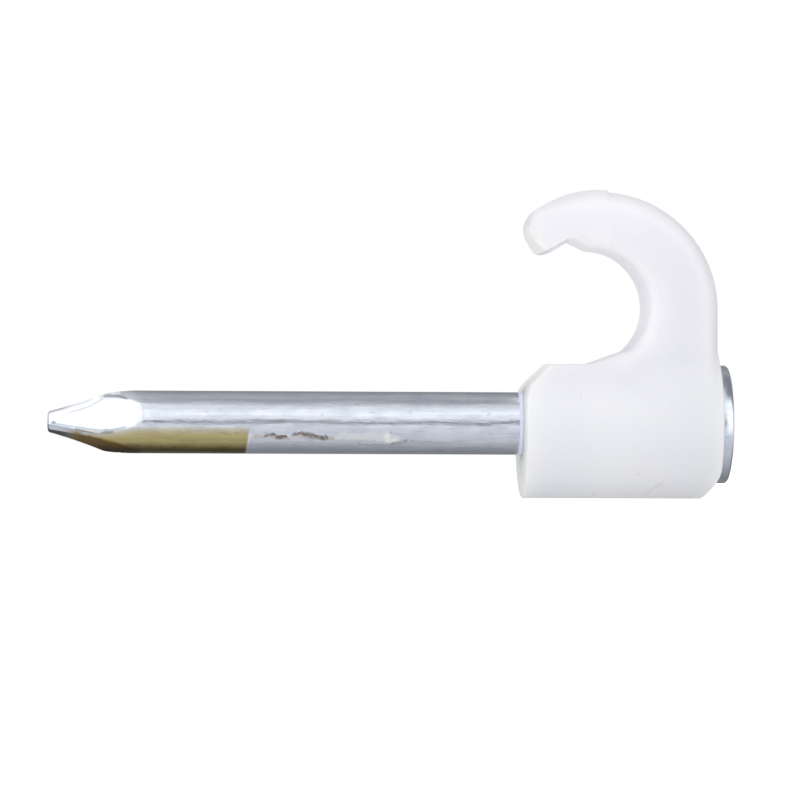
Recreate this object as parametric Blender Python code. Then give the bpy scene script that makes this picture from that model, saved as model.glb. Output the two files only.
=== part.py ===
"""Nail-in cable clip: a moulded plastic hook on a round boss, with a steel nail through the boss.

The frame has its origin on the nail's axis in the plane of the wall. +X points out of the wall
along the nail, so the nail's point has negative X, and +Z points from the boss to the hook.
The clip is symmetric across the plane Y = 0. Sizes are in millimetres and degrees.
"""
import math

import bmesh
import bpy
from mathutils import Vector

MM = 0.001

# Boss: a round barrel along the nail, with a flat saddle on top for the cable.
# Its nose is bevelled above the wall face, and its heel below the nail's head.
BOSS_LENGTH = 7.16
BOSS_DIAMETER = 5.50
SADDLE_HEIGHT = 2.19
NOSE_RUN = 0.885
NOSE_ANGLE = 45.0
NOSE_RADIUS = 1.04
HEEL_RUN = 0.55
HEEL_ANGLE = 33.0
HEEL_RADIUS = 1.5
FACE_EDGE = 0.07

# Cable space: a round channel that the hook wraps, open towards the wall
CABLE_DIAMETER = 4.22
CABLE_SETBACK = 2.45
RAMP_START = 2.395
RAMP_END_ANGLE = -50.0

# Hook: an arched arm with flat sides, whose edges round off into a narrower flat towards the
# cable and one along its back. The roundings are pieces of ellipses, this deep in the profile.
HOOK_WIDTH = 4.26
CABLE_FLAT_WIDTH = 2.98
CABLE_ROUND_DEPTH = 0.32
BACK_FLAT_WIDTH = 1.48
BACK_ROUND_DEPTH = 0.62
HOOK_RADIUS = 4.33
CROWN_WALL = 2.09
ROOT_BLEND = 0.9
CABLE_EDGE_RADIUS = 0.16

# Toe: the free end of the hook, a little proud of the crown, with a nib that keeps the cable in.
# Past the groove behind the nib, the edges towards the cable are no longer rounded off.
TOE_START = 3.137
TOE_RISE = 0.09
TOE_STEP_LENGTH = 0.06
TOE_CENTRE = 2.76
TOE_RADIUS = 3.86
TOE_NOSE_RADIUS = 0.62
TOE_FACE_ANGLE = 36.0
TOE_WIDTH = 3.74
TOE_EDGE = 0.09
NIB_SETBACK = 0.54
NIB_LENGTH = 0.44
NIB_GAP = 4.09
GROOVE_SETBACK = 1.858
GROOVE_DEPTH = 0.35
NIB_EDGE_START = 0.40

# Nail: a round shank, a flat round head and a blunt point swaged to four uneven, hollow flats.
# The flats taper from the point's end to a shoulder, at these distances from the nail's axis, and
# run out from there into the round. The front one runs out slowly, which leaves it a rounded end.
# Each corner between two of them is a narrow flat.
NAIL_LENGTH = 25.0
SHANK_DIAMETER = 2.30
HEAD_DIAMETER = 4.35
HEAD_THICKNESS = 0.43
HEAD_RIM_RADIUS = 0.12
HEAD_EDGE = 0.05
POINT_LENGTH = 3.50
SHOULDER_LENGTH = 2.08
POINT_END_WIDTH = 0.68
POINT_END_EDGE = 0.08
POINT_HOLLOW = 0.03
FRONT_SHOULDER = 0.96
TOP_SHOULDER = 0.82
BACK_SHOULDER = 0.88
BOTTOM_SHOULDER = 0.93
FRONT_RUN_OUT = 0.0
OTHER_RUN_OUT = 1.5
CORNER_FLAT = 0.22
POINT_TURN = 16.5

# Clearances between the plastic and the steel
BORE_CLEARANCE = 0.03
SEAT_CLEARANCE = 0.03

# Fineness of the facets
ROUND_SIDES = 64
ACROSS_STEPS = 20
END_SPACING_TURN = math.radians(75)
POINT_STEPS = 10
RIM_STEPS = 4

# Places that follow from the sizes; a point in the side profile is (x, z)
BOSS_RADIUS = BOSS_DIAMETER / 2
SHANK_RADIUS = SHANK_DIAMETER / 2
HEAD_RADIUS = HEAD_DIAMETER / 2
CABLE_RADIUS = CABLE_DIAMETER / 2
CABLE_CENTRE = (CABLE_SETBACK, SADDLE_HEIGHT + CABLE_RADIUS)
BACK_WALL = BOSS_LENGTH - CABLE_SETBACK - CABLE_RADIUS
CROWN_TOP = SADDLE_HEIGHT + CABLE_DIAMETER + CROWN_WALL
HOOK_CENTRE = (BOSS_LENGTH - HOOK_RADIUS, CROWN_TOP - HOOK_RADIUS)
TOE_ARC_CENTRE = (TOE_CENTRE, CROWN_TOP + TOE_RISE - TOE_RADIUS)
NIB_HEIGHT = SADDLE_HEIGHT + NIB_GAP
HALF_SIDE = 180 / ROUND_SIDES
BOSS_BOTTOM = -BOSS_RADIUS * math.cos(math.radians(HALF_SIDE))


def arc(centre, radius, start, end, steps):
    """Points on a circle from the angle start to end, counted from +X towards +Z."""
    turns = [math.radians(start + (end - start) * i / steps) for i in range(steps + 1)]
    return [(centre[0] + radius * math.cos(a), centre[1] + radius * math.sin(a)) for a in turns]


def line(start, end, steps):
    """Evenly spaced points from start to end."""
    return [tuple(Vector(start).lerp(Vector(end), i / steps)) for i in range(steps + 1)]


def angle_at(centre, radius, x):
    """The angle at which the upper half of a circle has the given x."""
    return math.degrees(math.acos((x - centre[0]) / radius))


def bevel_profile(run, angle, radius, arc_steps, line_steps):
    """(run, rise) from an end face: an arc that leaves the face, then a straight bevel.

    The arc leaves the face square to the boss's axis and turns by the bevel's angle.
    """
    eased = [(radius - x, z) for x, z in arc((0, 0), radius, 0, angle, arc_steps)]
    bevel_run = run - eased[-1][0]
    bevel_end = (run, eased[-1][1] + bevel_run / math.tan(math.radians(angle)))
    return eased + line(eased[-1], bevel_end, line_steps)[1:]


def toe_nose():
    """The centre of the toe's nose arc, and the angles where it leaves the toe's arc and ends.

    The nose lies inside the toe's arc and touches the straight face above the nib, so its
    centre is TOE_NOSE_RADIUS from that face and TOE_RADIUS - TOE_NOSE_RADIUS from the arc's.
    """
    turn = math.radians(TOE_FACE_ANGLE)
    along = Vector((-math.sin(turn), math.cos(turn)))
    inward = Vector((math.cos(turn), math.sin(turn)))
    start = Vector((NIB_SETBACK, NIB_HEIGHT)) + inward * TOE_NOSE_RADIUS
    offset = start - Vector(TOE_ARC_CENTRE)
    reach = TOE_RADIUS - TOE_NOSE_RADIUS
    half = offset.dot(along)
    travel = -half + math.sqrt(half ** 2 - offset.length_squared + reach ** 2)
    centre = start + along * travel
    leave = centre - Vector(TOE_ARC_CENTRE)
    leave_angle = math.degrees(math.atan2(leave.y, leave.x))
    return tuple(centre), leave_angle, 180 + TOE_FACE_ANGLE


def eased_share(x, start, end):
    """Smooth rise from 0 at start to 1 at end."""
    t = min(1.0, max(0.0, (x - start) / (end - start)))
    return t * t * (3 - 2 * t)


def boss_stations():
    """Stations from the wall face back along the boss to the top of the ramp.

    A station is (inner point, outer point, share, flat), a straight cut across the side
    profile from the cable's side to the outside. Share is how much of the hook's section it
    has, and flat is that section's width at the cable's side.
    """
    nose = bevel_profile(NOSE_RUN, NOSE_ANGLE, NOSE_RADIUS, 5, 3)
    nose_drop = SADDLE_HEIGHT - nose[-1][1]
    inner = [(0, nose_drop)]
    inner += [(x, z + nose_drop) for x, z in nose if x > FACE_EDGE]
    inner += line(inner[-1], (RAMP_START, SADDLE_HEIGHT), 4)[1:]
    outer = [(x, BOSS_BOTTOM) for x, _ in inner]
    ramp_end = arc(CABLE_CENTRE, CABLE_RADIUS, RAMP_END_ANGLE, 0, 1)[0]
    inner += line(inner[-1], ramp_end, 6)[1:]
    outer += line(outer[-1], (BOSS_LENGTH - HEEL_RUN, BOSS_BOTTOM), 6)[1:]
    root_start = (NOSE_RUN + RAMP_START) / 2
    shares = [eased_share(x, root_start, ramp_end[0]) for x, _ in inner]
    return [(a, b, share, CABLE_FLAT_WIDTH) for a, b, share in zip(inner, outer, shares)]


def arm_stations():
    """Stations round the hook, from the boss's heel up its back and over its crown."""
    heel = bevel_profile(HEEL_RUN, HEEL_ANGLE, HEEL_RADIUS, 4, 2)
    heel_rise = BOSS_BOTTOM + heel[-1][1]
    outer = [(BOSS_LENGTH - x, heel_rise - z) for x, z in reversed(heel)][1:]
    inner_turn = RAMP_END_ANGLE / 4
    inner = arc(CABLE_CENTRE, CABLE_RADIUS, RAMP_END_ANGLE, 3 * inner_turn, len(outer))[1:]
    outer += line(outer[-1], (BOSS_LENGTH, SADDLE_HEIGHT), 6)[1:]
    inner += arc(CABLE_CENTRE, CABLE_RADIUS, 3 * inner_turn, inner_turn, 6)[1:]
    outer += line(outer[-1], (BOSS_LENGTH, HOOK_CENTRE[1]), 3)[1:]
    inner += arc(CABLE_CENTRE, CABLE_RADIUS, inner_turn, 0, 3)[1:]
    crown_end = angle_at(HOOK_CENTRE, HOOK_RADIUS, TOE_START)
    outer += arc(HOOK_CENTRE, HOOK_RADIUS, 0, crown_end, 15)[1:]
    inner += arc(CABLE_CENTRE, CABLE_RADIUS, 0, crown_end, 15)[1:]
    return [(a, b, 1.0, CABLE_FLAT_WIDTH) for a, b in zip(inner, outer)]


def toe_stations(crown_end):
    """Stations from the small step on the crown to the flat face at the hook's free end."""
    centre, leave_angle, end_angle = toe_nose()
    toe_start = angle_at(TOE_ARC_CENTRE, TOE_RADIUS, TOE_START - TOE_STEP_LENGTH)
    toe_arc = arc(TOE_ARC_CENTRE, TOE_RADIUS, toe_start, leave_angle, 12)
    nose_arc = arc(centre, TOE_NOSE_RADIUS, leave_angle, end_angle, 6)
    channel_top = (CABLE_SETBACK, SADDLE_HEIGHT + CABLE_DIAMETER)
    groove = (GROOVE_SETBACK, channel_top[1] + GROOVE_DEPTH)
    nib_back = (NIB_SETBACK + NIB_LENGTH, NIB_HEIGHT)
    nib_front = (NIB_SETBACK, NIB_HEIGHT)
    inner = arc(CABLE_CENTRE, CABLE_RADIUS, crown_end, 90, 4)[1:]
    inner += line(channel_top, groove, 3)[1:]
    inner += line(groove, nib_back, 6)[1:]
    inner += line(nib_back, nib_front, 6)[1:]
    outer = toe_arc + nose_arc[1:]
    last = len(inner) - 1
    narrowing = 1 - TOE_WIDTH / HOOK_WIDTH
    shares = [1 - narrowing * eased_share(i, 0, last) for i in range(last + 1)]
    widening = HOOK_WIDTH - CABLE_FLAT_WIDTH
    edge_start = GROOVE_SETBACK + NIB_EDGE_START
    flats = [HOOK_WIDTH - widening * eased_share(x, GROOVE_SETBACK, edge_start) for x, _ in inner]
    return list(zip(inner, outer, shares, flats))


def rounded_share(distance, flat_share, depth):
    """Share of the full width at a distance from a flat: a piece of an ellipse, then 1."""
    gap = max(0.0, 1 - distance / depth)
    return math.sqrt(1 - (1 - flat_share ** 2) * gap ** 2)


def arm_half_width(depth, wall, flat):
    """Half the width of the hook's section at a depth below its flat cable side.

    Past the wall, where a section runs on into the boss, the back flat tapers away.
    """
    if depth > wall:
        return BACK_FLAT_WIDTH / 2 * max(0.0, 2 - depth / wall)
    cable_share = rounded_share(depth, flat / HOOK_WIDTH, CABLE_ROUND_DEPTH)
    back_share = rounded_share(wall - depth, BACK_FLAT_WIDTH / HOOK_WIDTH, BACK_ROUND_DEPTH)
    return HOOK_WIDTH / 2 * cable_share * back_share


def half_width(depth, height, wall, share, flat, inset):
    """Half the clip's width: the wider of the barrel and the arm, blended where they meet."""
    barrel = math.sqrt(max(0.0, (BOSS_RADIUS - inset) ** 2 - height ** 2))
    arm = max(0.0, share * arm_half_width(depth, wall, flat) - inset)
    blend = min(ROOT_BLEND, barrel, arm)
    overlap = max(0.0, blend - abs(barrel - arm))
    swell = overlap ** 2 / (4 * blend) if overlap > 0 else 0.0
    return max(barrel, arm) + swell


def section_depths(length, inner_height, on_bottom):
    """Depths across a section, closer together where the sides curve in towards its ends."""
    if on_bottom:
        first = -math.asin(min(1.0, inner_height / BOSS_RADIUS))
        last = math.radians(90 - HALF_SIDE)
    else:
        first = -END_SPACING_TURN
        last = END_SPACING_TURN
    sines = [math.sin(first + (last - first) * i / ACROSS_STEPS) for i in range(ACROSS_STEPS + 1)]
    start = CABLE_EDGE_RADIUS
    span = (length - start) / (sines[-1] - sines[0])
    return [start + (s - sines[0]) * span for s in sines]


def clip_section(inner, outer, share, flat, inset):
    """The closed loop of points of one section, drawn in by inset at the clip's two end faces."""
    inner, outer = Vector(inner), Vector(outer)
    on_bottom = math.isclose(outer.y, BOSS_BOTTOM, rel_tol=1e-5)
    down = (outer - inner).normalized()
    inner = inner + down * inset
    length = (outer - inner).length - inset
    wall = min(length, BACK_WALL)
    side = []
    for turn in (0, math.pi / 4):
        depth = CABLE_EDGE_RADIUS * (1 - math.cos(turn))
        round_off = CABLE_EDGE_RADIUS * (1 - math.sin(turn))
        height = (inner + down * depth).y
        side.append((depth, half_width(depth, height, wall, share, flat, inset) - round_off))
    for depth in section_depths(length, inner.y, on_bottom):
        height = (inner + down * depth).y
        side.append((depth, half_width(depth, height, wall, share, flat, inset)))
    loop = []
    for depth, width in side:
        at = inner + down * depth
        loop.append(Vector((at.x, width, at.y)) * MM)
    return loop + [Vector((p.x, -p.y, p.z)) for p in reversed(loop)]


def loft(name, loops):
    """A closed mesh through loops of equal count, with a face across each end."""
    mesh = bpy.data.meshes.new(name)
    bm = bmesh.new()
    rows = [[bm.verts.new(p) for p in loop] for loop in loops]
    count = len(rows[0])
    for row, following in zip(rows, rows[1:]):
        for i in range(count):
            j = (i + 1) % count
            bm.faces.new((row[i], row[j], following[j], following[i]))
    bm.faces.new(rows[0])
    bm.faces.new(rows[-1])
    bmesh.ops.recalc_face_normals(bm, faces=bm.faces)
    bm.to_mesh(mesh)
    bm.free()
    mesh.shade_smooth()
    mesh.set_sharp_from_angle(angle=math.radians(30))
    return mesh


def material(name, colour, roughness, metallic):
    """A Principled surface of one colour."""
    made = bpy.data.materials.new(name)
    made.use_nodes = True
    shader = made.node_tree.nodes["Principled BSDF"]
    shader.inputs["Base Color"].default_value = (*colour, 1.0)
    shader.inputs["Roughness"].default_value = roughness
    shader.inputs["Metallic"].default_value = metallic
    return made


def add_object(name, mesh, parent, location=(0, 0, 0)):
    """Link a mesh to the scene as one named object."""
    made = bpy.data.objects.new(name, mesh)
    made.parent = parent
    made.location = location
    bpy.context.collection.objects.link(made)
    return made


def nail_loop(x, radius_at):
    """A ring of points round the nail's axis, one of them on each corner of the point."""
    loop = []
    for i in range(ROUND_SIDES):
        turn = 2 * math.pi * i / ROUND_SIDES
        angle = turn - math.radians(POINT_TURN)
        radius = radius_at(turn)
        loop.append(Vector((x, radius * math.cos(angle), radius * math.sin(angle))) * MM)
    return loop


def flat_distances(x):
    """How far each of the point's four flats is from the axis, at x from the point's end."""
    shoulders = (BACK_SHOULDER, TOP_SHOULDER, FRONT_SHOULDER, BOTTOM_SHOULDER)
    end = POINT_END_WIDTH / 2
    if x < SHOULDER_LENGTH:
        share = x / SHOULDER_LENGTH
        hollow = POINT_HOLLOW * 4 * share * (1 - share)
        return [end + (shoulder - end) * share - hollow for shoulder in shoulders]
    share = (x - SHOULDER_LENGTH) / (POINT_LENGTH - SHOULDER_LENGTH)
    slopes = (OTHER_RUN_OUT, OTHER_RUN_OUT, FRONT_RUN_OUT, OTHER_RUN_OUT)
    run_outs = [share * (slope + (1 - slope) * share) for slope in slopes]
    return [s + (SHANK_RADIUS - s) * run_out for s, run_out in zip(shoulders, run_outs)]


def point_radius(turn, flats, inset):
    """Radius of the point's section: the nearest of its flats, its corner flats and the round."""
    radius = SHANK_RADIUS
    for i, flat in enumerate(flats):
        corner = (flat + flats[(i + 1) % 4]) / math.sqrt(2) - CORNER_FLAT / 2
        for distance, facing in ((flat, i * math.pi / 2), (corner, (i + 0.5) * math.pi / 2)):
            facing_share = math.cos(turn - facing)
            if facing_share > 0:
                radius = min(radius, (distance - inset) / facing_share)
    return radius


def nail_mesh():
    """The nail, with its own origin on its axis under the head."""
    tip = HEAD_THICKNESS - NAIL_LENGTH
    loops = []
    steps = [i / POINT_STEPS for i in range(1, POINT_STEPS + 1)]
    run_out = POINT_LENGTH - SHOULDER_LENGTH
    places = [0, POINT_END_EDGE] + [SHOULDER_LENGTH * t for t in steps]
    places += [SHOULDER_LENGTH + run_out * t for t in steps]
    for x in places:
        flats = flat_distances(x)
        inset = max(0.0, POINT_END_EDGE - x)
        loops.append(nail_loop(tip + x, lambda turn: point_radius(turn, flats, inset)))
    rim_centre = (HEAD_THICKNESS - HEAD_RIM_RADIUS, HEAD_RADIUS - HEAD_RIM_RADIUS)
    head = [(0, SHANK_RADIUS), (0, HEAD_RADIUS - HEAD_EDGE), (HEAD_EDGE, HEAD_RADIUS)]
    head += arc(rim_centre, HEAD_RIM_RADIUS, 90, 0, RIM_STEPS)
    for x, radius in head:
        loops.append(nail_loop(x, lambda turn: radius))
    return loft("nail", loops)


def clip_mesh():
    """The moulded clip without its bore: one loft from the wall face to the end of the hook."""
    stations = boss_stations() + arm_stations()
    stations += toe_stations(angle_at(HOOK_CENTRE, HOOK_RADIUS, TOE_START))
    insets = [FACE_EDGE] + [0.0] * (len(stations) - 2) + [TOE_EDGE]
    loops = [clip_section(*station, inset) for station, inset in zip(stations, insets)]
    return loft("clip_body", loops)


def bore_cutter(parent):
    """A round bar through the boss, wider than the shank by the clearance all round."""
    radius = SHANK_RADIUS + BORE_CLEARANCE
    ends = (-BOSS_LENGTH, 2 * BOSS_LENGTH)
    loops = [nail_loop(x, lambda turn: radius) for x in ends]
    made = add_object("bore_cutter", loft("bore", loops), parent)
    made.hide_render = True
    made.display_type = "WIRE"
    return made


def build():
    """Clear the scene and make the clip and its nail."""
    for old in list(bpy.data.objects):
        bpy.data.objects.remove(old, do_unlink=True)
    root = add_object("cable_clip", None, None)

    clip = add_object("clip_body", clip_mesh(), root)
    clip.data.materials.append(material("white_plastic", (0.82, 0.82, 0.87), 0.42, 0.0))
    bore = clip.modifiers.new("nail_bore", "BOOLEAN")
    bore.operation = "DIFFERENCE"
    bore.solver = "EXACT"
    bore.object = bore_cutter(root)

    seat = ((BOSS_LENGTH + SEAT_CLEARANCE) * MM, 0, 0)
    nail = add_object("nail", nail_mesh(), root, seat)
    nail.data.materials.append(material("zinc_plated_steel", (0.60, 0.62, 0.66), 0.34, 1.0))


build()
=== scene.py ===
# %% [markdown]
# # A nail-in cable clip
# The real object is a small moulded hook of white plastic with a zinc plated nail through its
# round boss. This lesson dresses its fixed CAD model: it builds both pieces again as fine
# surfaces, gives them the finishes of worn plastic and drawn, plated steel, and lights them in a
# pale studio. The first cell loads the CAD model, which sets every place and size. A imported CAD
# mesh is made of large flat facets, so it serves here as the frame to stay inside.

# %% Load the fixed frame
import math

import bmesh
import bpy
import numpy as np
from mathutils import Matrix, Vector


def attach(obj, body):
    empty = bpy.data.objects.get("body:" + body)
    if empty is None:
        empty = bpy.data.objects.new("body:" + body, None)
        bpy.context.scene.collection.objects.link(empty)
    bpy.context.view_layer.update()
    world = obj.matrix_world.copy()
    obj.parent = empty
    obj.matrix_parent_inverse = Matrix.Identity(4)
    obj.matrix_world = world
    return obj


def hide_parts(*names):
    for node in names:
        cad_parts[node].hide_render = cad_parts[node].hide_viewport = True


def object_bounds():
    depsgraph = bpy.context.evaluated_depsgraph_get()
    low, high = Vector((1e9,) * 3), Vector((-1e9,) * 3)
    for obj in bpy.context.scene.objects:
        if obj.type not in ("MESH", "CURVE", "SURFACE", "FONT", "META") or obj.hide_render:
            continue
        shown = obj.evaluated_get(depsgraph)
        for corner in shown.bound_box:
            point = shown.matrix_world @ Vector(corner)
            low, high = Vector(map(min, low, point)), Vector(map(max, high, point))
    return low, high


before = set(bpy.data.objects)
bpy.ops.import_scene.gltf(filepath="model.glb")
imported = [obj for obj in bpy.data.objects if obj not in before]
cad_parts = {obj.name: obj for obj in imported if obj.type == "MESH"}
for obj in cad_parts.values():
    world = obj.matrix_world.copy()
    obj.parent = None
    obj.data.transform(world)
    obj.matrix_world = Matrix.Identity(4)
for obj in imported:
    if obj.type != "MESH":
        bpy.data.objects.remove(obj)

MM = 0.001
cad_low, cad_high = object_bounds()
print("CAD nodes:", sorted(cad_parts))
print("CAD box in mm:", [round(v / MM, 2) for v in (*cad_low, *cad_high)])

# %% [markdown]
# ## The side profile of the clip
# Seen from the side, the clip is a barrel with a bevelled nose and heel, and a hook that wraps a
# round cable. Such an outline could be drawn as a curve and filled, but then it would have the
# same width everywhere. Here the profile is held as two rails instead, one along the cable's
# side and one along the outside, and each straight cut from rail to rail is called a station.
# Arcs and lines are all that a toolmaker needs for the rails, so two small helpers draw them.


# %% Arcs and lines of the profile
def shares(steps):
    """Even shares from 0 to 1 in a number of steps, or given shares as they are."""
    return np.linspace(0, 1, steps + 1) if isinstance(steps, int) else steps


def arc(centre, radius, start, end, steps):
    """Points centre + radius * (cos t, sin t), where t goes by shares from start to end degrees."""
    t = np.radians(start + (end - start) * shares(steps))
    return np.stack([centre[0] + radius * np.cos(t), centre[1] + radius * np.sin(t)], axis=1)


def line(start, end, steps):
    """Points start + t * (end - start), where t goes by shares from 0 to 1."""
    t = shares(steps)[:, None]
    return np.asarray(start) * (1 - t) + np.asarray(end) * t


def join(*paths):
    """One path from several, where each starts at the point at which the one before ends."""
    return np.concatenate([paths[0]] + [path[1:] for path in paths[1:]])


def bevel(run, angle, radius, steps):
    """(run, rise) from an end face: an arc that leaves the face, then a straight bevel.

    The arc is (radius * (1 - cos t), radius * sin t) for t from 0 to the bevel's angle.
    """
    eased = arc((0, 0), radius, 0, angle, steps)
    eased[:, 0] = radius - eased[:, 0]
    rise = (run - eased[-1, 0]) / math.tan(math.radians(angle))
    return join(eased, line(eased[-1], (run, eased[-1, 1] + rise), steps // 2))


BOSS_LENGTH = 7.16
BOSS_RADIUS = 2.75
SADDLE_HEIGHT = 2.19
NOSE_RUN, NOSE_ANGLE, NOSE_RADIUS = 0.955, 45.0, 1.04
HEEL_RUN, HEEL_ANGLE, HEEL_RADIUS = 0.55, 33.0, 1.5
BEVEL_STEPS = 12

nose = bevel(NOSE_RUN, NOSE_ANGLE, NOSE_RADIUS, BEVEL_STEPS)
heel = bevel(HEEL_RUN, HEEL_ANGLE, HEEL_RADIUS, BEVEL_STEPS)
print("nose rises", round(nose[-1, 1], 2), "mm and heel rises", round(heel[-1, 1], 2), "mm")

# %% Rails round the boss
CABLE_RADIUS = 2.11
CABLE_CENTRE = (2.45, SADDLE_HEIGHT + CABLE_RADIUS)
RAMP_START = 2.395
RAMP_END = -50.0
boss_bottom = cad_low[2] / MM

nose_rail = nose + (0, SADDLE_HEIGHT - nose[-1, 1])
saddle_rail = line(nose_rail[-1], (RAMP_START, SADDLE_HEIGHT), 16)
ramp_top = arc(CABLE_CENTRE, CABLE_RADIUS, RAMP_END, 0, 1)[0]
ramp_rail = line(saddle_rail[-1], ramp_top, 20)
boss_inner = join(nose_rail, saddle_rail)
boss_outer = np.stack([boss_inner[:, 0], np.full(len(boss_inner), boss_bottom)], axis=1)
heel_start = (BOSS_LENGTH - heel[-1, 0], boss_bottom)
boss_inner = join(boss_inner, ramp_rail)
boss_outer = join(boss_outer, line(boss_outer[-1], heel_start, 20))
print("stations along the boss:", len(boss_inner))

# %% Rails up the back and over the crown
HOOK_RADIUS = 4.33
CROWN_TOP = SADDLE_HEIGHT + 2 * CABLE_RADIUS + 2.09
HOOK_CENTRE = (BOSS_LENGTH - HOOK_RADIUS, CROWN_TOP - HOOK_RADIUS)
TOE_START = 3.137

heel_height = boss_bottom + heel[-1, 1] - heel[:, 1]
heel_rail = np.stack([BOSS_LENGTH - heel[:, 0], heel_height], axis=1)[::-1]
crown_end = math.degrees(math.acos((TOE_START - HOOK_CENTRE[0]) / HOOK_RADIUS))
turns = [RAMP_END, RAMP_END * 0.75, RAMP_END * 0.25, 0.0, crown_end]
arm_outer = join(
    heel_rail,
    line(heel_rail[-1], (BOSS_LENGTH, SADDLE_HEIGHT), 24),
    line((BOSS_LENGTH, SADDLE_HEIGHT), (BOSS_LENGTH, HOOK_CENTRE[1]), 14),
    arc(HOOK_CENTRE, HOOK_RADIUS, 0, crown_end, 50),
)
arm_inner = join(*[
    arc(CABLE_CENTRE, CABLE_RADIUS, start, end, steps)
    for start, end, steps in zip(turns, turns[1:], (len(heel_rail) - 1, 24, 14, 50))
])
print("stations up the hook:", len(arm_inner), "crown ends at", round(crown_end, 1), "degrees")

# %% [markdown]
# ## The toe of the hook
# The free end of the hook is a little proud of the crown, which leaves a small witness step in
# the moulding. Below, a shallow groove and a nib keep the cable from slipping out. Its nose is
# an arc that has to touch both the toe's own arc and the straight face above the nib. That
# touching point could be placed by eye, but two distances settle it: the centre lies one nose
# radius from the face, and the difference of the two radii from the centre of the toe's arc.
# The last stations lie ever closer together, to follow the rounded edge of the end face.

# %% Rails round the toe
TOE_RISE = 0.09
TOE_RADIUS = 3.86
TOE_ARC_CENTRE = (2.76, CROWN_TOP + TOE_RISE - TOE_RADIUS)
TOE_NOSE_RADIUS = 0.85
TOE_FACE_ANGLE = 36.0
TOE_STEP_LENGTH = 0.06
NIB_FRONT = np.array([0.62, SADDLE_HEIGHT + 4.09])
NIB_LENGTH = 0.36
GROOVE = (1.74, SADDLE_HEIGHT + 2 * CABLE_RADIUS + 0.36)

face_turn = math.radians(TOE_FACE_ANGLE)
face_up = np.array([-math.sin(face_turn), math.cos(face_turn)])
face_inward = np.array([math.cos(face_turn), math.sin(face_turn)])
nose_start = NIB_FRONT + face_inward * TOE_NOSE_RADIUS
offset = nose_start - TOE_ARC_CENTRE
half = offset @ face_up
travel = -half + math.sqrt(half**2 - offset @ offset + (TOE_RADIUS - TOE_NOSE_RADIUS) ** 2)
nose_centre = nose_start + face_up * travel
leave = nose_centre - TOE_ARC_CENTRE
leave_angle = math.degrees(math.atan2(leave[1], leave[0]))
toe_turn = math.degrees(
    math.acos((TOE_START - TOE_STEP_LENGTH - TOE_ARC_CENTRE[0]) / TOE_RADIUS)
)
closing = 1 - (1 - shares(20)) ** 2
toe_outer = join(
    arc(TOE_ARC_CENTRE, TOE_RADIUS, toe_turn, leave_angle, 44),
    arc(nose_centre, TOE_NOSE_RADIUS, leave_angle, 180 + TOE_FACE_ANGLE, closing),
)
channel_top = (CABLE_CENTRE[0], SADDLE_HEIGHT + 2 * CABLE_RADIUS)
nib_back = NIB_FRONT + (NIB_LENGTH, 0)
toe_inner = join(
    arc(CABLE_CENTRE, CABLE_RADIUS, crown_end, 90, 13),
    line(channel_top, GROOVE, 12),
    line(GROOVE, nib_back, 20),
    line(nib_back, NIB_FRONT, closing),
)[1:]
print("toe stations:", len(toe_inner), len(toe_outer), "nose leaves at", round(leave_angle, 1))

# %% [markdown]
# ## How wide the clip is at each point of its profile
# The barrel's half width at a height z is the chord of a circle. The arm has flat sides, whose
# edges round off towards the cable and towards the back, so its half width grows from each
# rail inwards. Along the cable runs a shallow band, a little below the flat side. Where arm and
# barrel meet, a moulding has a soft root instead of a crease. A union of two solids would leave
# that crease, so the wider of the two half widths is taken with a smooth maximum.

# %% Half width as a function of place
HOOK_WIDTH = 4.26
CABLE_FLAT_SHARE = 3.50 / HOOK_WIDTH
BACK_FLAT_SHARE = 1.48 / HOOK_WIDTH
CABLE_ROUND_DEPTH = 0.30
BACK_ROUND_DEPTH = 0.62
NIB_EDGE_START = 0.40
COVE_TURNS = (-50.0, -20.0, 5.0, 25.0, 86.0)
COVE_DEPTHS = (0.30, 0.40, 0.50, 0.67, 0.96)
COVE_SINK = 0.055
COVE_FADE = 0.1
ROOT_BLEND = 0.9
ARM_FADE = (-1.6, 1.2)
HEEL_ROUND = 0.12
FACE_EDGE = 0.08
TOE_EDGE = 0.10
TOE_FACE_ROUND = 0.26
TOE_BACK_SHARE = 0.80
TOE_BLEND = (0.4, 2.2)


def eased(value, start, end):
    """Smooth rise t * t * (3 - 2 * t) from 0 at start to 1 at end."""
    t = np.clip((value - start) / (end - start), 0, 1)
    return t * t * (3 - 2 * t)


def distance_to_path(points, path):
    """The least distance from each point to the straight pieces of a path.

    On a piece from a to b the nearest place is a + h * (b - a), where h is
    (p - a) . (b - a) / |b - a|^2 held between 0 and 1.
    """
    a, along = path[:-1], np.diff(path, axis=0)
    to_point = points[..., None, :] - a
    h = np.clip((to_point * along).sum(-1) / (along**2).sum(-1), 0, 1)
    return np.linalg.norm(to_point - h[..., None] * along, axis=-1).min(-1)


def shoulder(distance, flat_share, depth):
    """Share of the full width: a piece of an ellipse from flat_share at a rail to 1 at depth."""
    gap = np.clip(1 - distance / depth, 0, 1)
    return np.sqrt(1 - (1 - flat_share**2) * gap**2)


def cove(distance, x, z):
    """Share of the full width on a shallow band along the cable, which ends at the toe.

    It falls evenly from 1 where the band ends to 1 - sink at the rail. The band widens with
    the turn round the cable's centre.
    """
    turn = np.degrees(np.arctan2(z - CABLE_CENTRE[1], x - CABLE_CENTRE[0]))
    on_arm = np.maximum(eased(x, TOE_START - COVE_FADE, TOE_START), z < CABLE_CENTRE[1])
    depth = np.interp(turn, COVE_TURNS, COVE_DEPTHS)
    return 1 - COVE_SINK * on_arm * np.clip(1 - distance / depth, 0, 1)


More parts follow.
